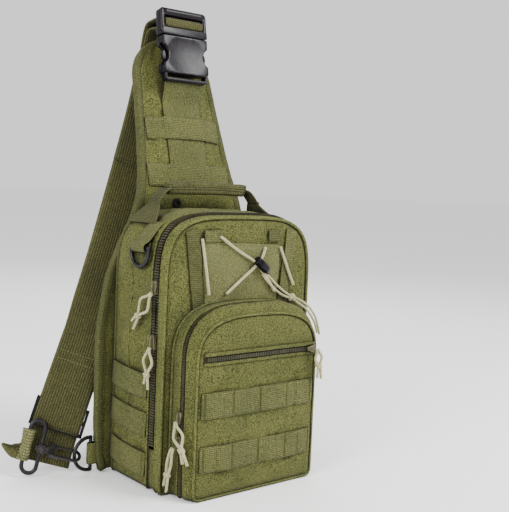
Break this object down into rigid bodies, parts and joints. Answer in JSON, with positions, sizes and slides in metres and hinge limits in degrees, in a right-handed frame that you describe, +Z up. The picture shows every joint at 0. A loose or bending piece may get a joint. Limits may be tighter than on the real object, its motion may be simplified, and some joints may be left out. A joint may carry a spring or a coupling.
{
  "type": "sling bag",
  "caption": "One-strap sling bag with a main compartment, front pocket, load bands, shock-cord lacing, padded shoulder and side-release buckle.",
  "frame": {"origin": "centre of the base, on the surface the bag stands on", "axes": "+Z up along the bag, -Y towards the front pocket, +X to the viewer's right when looking at the front"},
  "size_m": [0.3374, 0.2004, 0.49],
  "materials": {
    "olive_fabric": "matte",
    "webbing": "matte",
    "panel_fabric": "matte",
    "mesh": "matte",
    "binding": "matte",
    "foam": "matte",
    "zip_tape": "matte",
    "zip_metal": "satin",
    "loop_fabric": "matte",
    "cord": "matte",
    "black_plastic": "gloss",
    "lock_plastic": "satin",
    "black_metal": "satin"
  },
  "bodies": {
    "bag": {"back_panel": "panel_fabric", "foam_inserts": "foam", "mesh_panel": "mesh", "edge_binding": "binding", "shoulder_pad": "olive_fabric", "pad_bands": "webbing", "pad_webbing": "webbing", "cable_eyelet": "black_plastic", "back_tab": "webbing", "main_gusset": "olive_fabric", "lower_front": "olive_fabric", "main_zip": "zip_tape", "side_bands": "webbing", "inner_pocket": "panel_fabric", "ring_tabs": "webbing", "handle_anchors": "webbing", "pocket_gusset": "olive_fabric", "pocket_zip_rear": "zip_tape", "strap_front": "webbing", "strap_rear": "webbing", "strap_wrap": "webbing", "hook_eye": "black_metal", "buckle_female": "black_plastic", "bungee_tail": "cord"},
    "front_flap": {"front_flap": "olive_fabric", "flap_zip": "zip_tape", "loop_patch": "loop_fabric", "lacing_straps": "webbing", "bungee_cord": "cord", "cord_lock": "black_plastic"},
    "lock_button": {"lock_button": "lock_plastic"},
    "pocket_flap": {"pocket_face": "olive_fabric", "pocket_zip_front": "zip_tape", "pocket_bands": "webbing", "small_zip": "zip_tape"},
    "main_slider_upper": {"main_slider_upper": "zip_metal"},
    "main_slider_lower": {"main_slider_lower": "zip_metal"},
    "pocket_slider_upper": {"pocket_slider_upper": "zip_metal"},
    "pocket_slider_lower": {"pocket_slider_lower": "zip_metal"},
    "small_zip_slider": {"small_zip_slider": "zip_metal"},
    "main_pull_upper": {"main_pull_upper": "cord"},
    "main_pull_lower": {"main_pull_lower": "cord"},
    "pocket_pull_upper": {"pocket_pull_upper": "cord"},
    "pocket_pull_lower": {"pocket_pull_lower": "cord"},
    "small_zip_pull": {"small_zip_pull": "cord"},
    "ring_upper_left": {"ring_upper_left": "black_metal"},
    "ring_upper_right": {"ring_upper_right": "black_metal"},
    "ring_lower_left": {"ring_lower_left": "black_metal"},
    "ring_lower_right": {"ring_lower_right": "black_metal"},
    "handle": {"handle": "webbing"},
    "buckle_male": {"buckle_male": "black_plastic", "strap_top_loop": "webbing"},
    "prong_left": {"prong_left": "black_plastic"},
    "prong_right": {"prong_right": "black_plastic"},
    "adjuster": {"adjuster": "black_plastic", "adjuster_strap_end": "webbing"},
    "snap_hook": {"snap_hook": "black_metal"},
    "hook_gate": {"hook_gate": "black_metal"}
  },
  "joints": [
    {"name": "front_flap_hinge", "type": "hinge", "parent": "bag", "child": "front_flap", "pos_m": [0, -0.0425, 0.191], "axis": [1, 0, 0], "range_deg": [0, 60]},
    {"name": "lock_button_press", "type": "slide", "parent": "front_flap", "child": "lock_button", "axis": [-0.788, 0, 0.6157], "range_m": [0, 0.003], "stiffness_N_per_m": 400, "springref_m": -0.001},
    {"name": "pocket_flap_hinge", "type": "hinge", "parent": "bag", "child": "pocket_flap", "pos_m": [0, -0.075, 0.004], "axis": [1, 0, 0], "range_deg": [0, 75]},
    {"name": "handle_hinge", "type": "hinge", "parent": "bag", "child": "handle", "pos_m": [0, 0.02, 0.282], "axis": [1, 0, 0], "range_deg": [-12, 35]},
    {"name": "ring_upper_left_swing", "type": "hinge", "parent": "bag", "child": "ring_upper_left", "pos_m": [-0.0988, -0.003, 0.238], "axis": [0, 1, 0], "range_deg": [0, 80]},
    {"name": "ring_upper_right_swing", "type": "hinge", "parent": "bag", "child": "ring_upper_right", "pos_m": [0.0988, -0.003, 0.238], "axis": [0, -1, 0], "range_deg": [0, 80]},
    {"name": "ring_lower_left_swing", "type": "hinge", "parent": "bag", "child": "ring_lower_left", "pos_m": [-0.1165, 0.05, 0.021], "axis": [0, 0, 1], "range_deg": [-3, 3]},
    {"name": "ring_lower_right_swing", "type": "hinge", "parent": "bag", "child": "ring_lower_right", "pos_m": [0.1165, 0.05, 0.021], "axis": [0, 0, 1], "range_deg": [-50, 50]},
    {"name": "buckle_slide", "type": "slide", "parent": "bag", "child": "buckle_male", "axis": [0, 0.1564, 0.9877], "range_m": [0, 0.03]},
    {"name": "prong_left_flex", "type": "hinge", "parent": "buckle_male", "child": "prong_left", "pos_m": [-0.021, 0.07273, 0.45947], "axis": [0, -0.9877, 0.1564], "range_deg": [0, 5], "stiffness_Nm_per_rad": 0.05, "springref_deg": -2.86},
    {"name": "prong_right_flex", "type": "hinge", "parent": "buckle_male", "child": "prong_right", "pos_m": [0.021, 0.07273, 0.45947], "axis": [0, 0.9877, -0.1564], "range_deg": [0, 5], "stiffness_Nm_per_rad": 0.05, "springref_deg": -2.86},
    {"name": "adjuster_slide", "type": "slide", "parent": "bag", "child": "adjuster", "axis": [0.3769, 0.0541, 0.9247], "range_m": [-0.004, 0.02]},
    {"name": "hook_swivel", "type": "hinge", "parent": "bag", "child": "snap_hook", "pos_m": [-0.16503, 0.06705, 0.02887], "axis": [-0.8438, 0.4872, 0.2249], "range_deg": [-4, 25]},
    {"name": "gate_hinge", "type": "hinge", "parent": "snap_hook", "child": "hook_gate", "pos_m": [-0.14977, 0.06474, 0.02889], "axis": [0.0813, 0.5304, -0.8438], "range_deg": [0, 16], "stiffness_Nm_per_rad": 0.02, "springref_deg": -5.73},
    {"name": "main_slider_upper_slide", "type": "slide", "parent": "bag", "child": "main_slider_upper", "axis": [0, 0, 1], "range_m": [0, 0.015]},
    {"name": "main_slider_lower_slide", "type": "slide", "parent": "bag", "child": "main_slider_lower", "axis": [0, 0, -1], "range_m": [0, 0.09]},
    {"name": "pocket_slider_upper_slide", "type": "slide", "parent": "bag", "child": "pocket_slider_upper", "axis": [0, 0, 1], "range_m": [0, 0.04]},
    {"name": "pocket_slider_lower_slide", "type": "slide", "parent": "bag", "child": "pocket_slider_lower", "axis": [0, 0, 1], "range_m": [0, 0.005]},
    {"name": "small_zip_slider_slide", "type": "slide", "parent": "pocket_flap", "child": "small_zip_slider", "axis": [-1, 0, 0], "range_m": [0, 0.11]},
    {"name": "main_pull_upper_swing", "type": "hinge", "parent": "main_slider_upper", "child": "main_pull_upper", "pos_m": [-0.1016, -0.027, 0.1955], "axis": [0, 1, 0], "range_deg": [0, 70]},
    {"name": "main_pull_lower_swing", "type": "hinge", "parent": "main_slider_lower", "child": "main_pull_lower", "pos_m": [-0.1016, -0.027, 0.1425], "axis": [0, 1, 0], "range_deg": [0, 70]},
    {"name": "pocket_pull_upper_swing", "type": "hinge", "parent": "pocket_slider_upper", "child": "pocket_pull_upper", "pos_m": [-0.0906, -0.0585, 0.0755], "axis": [0, 1, 0], "range_deg": [0, 70]},
    {"name": "pocket_pull_lower_swing", "type": "hinge", "parent": "pocket_slider_lower", "child": "pocket_pull_lower", "pos_m": [-0.0936, -0.0585, 0.051], "axis": [0, 1, 0], "range_deg": [0, 70]},
    {"name": "small_zip_pull_swing", "type": "hinge", "parent": "small_zip_slider", "child": "small_zip_pull", "pos_m": [0.072, -0.0838, 0.136], "axis": [-1, 0, 0], "range_deg": [0, 60]}
  ]
}
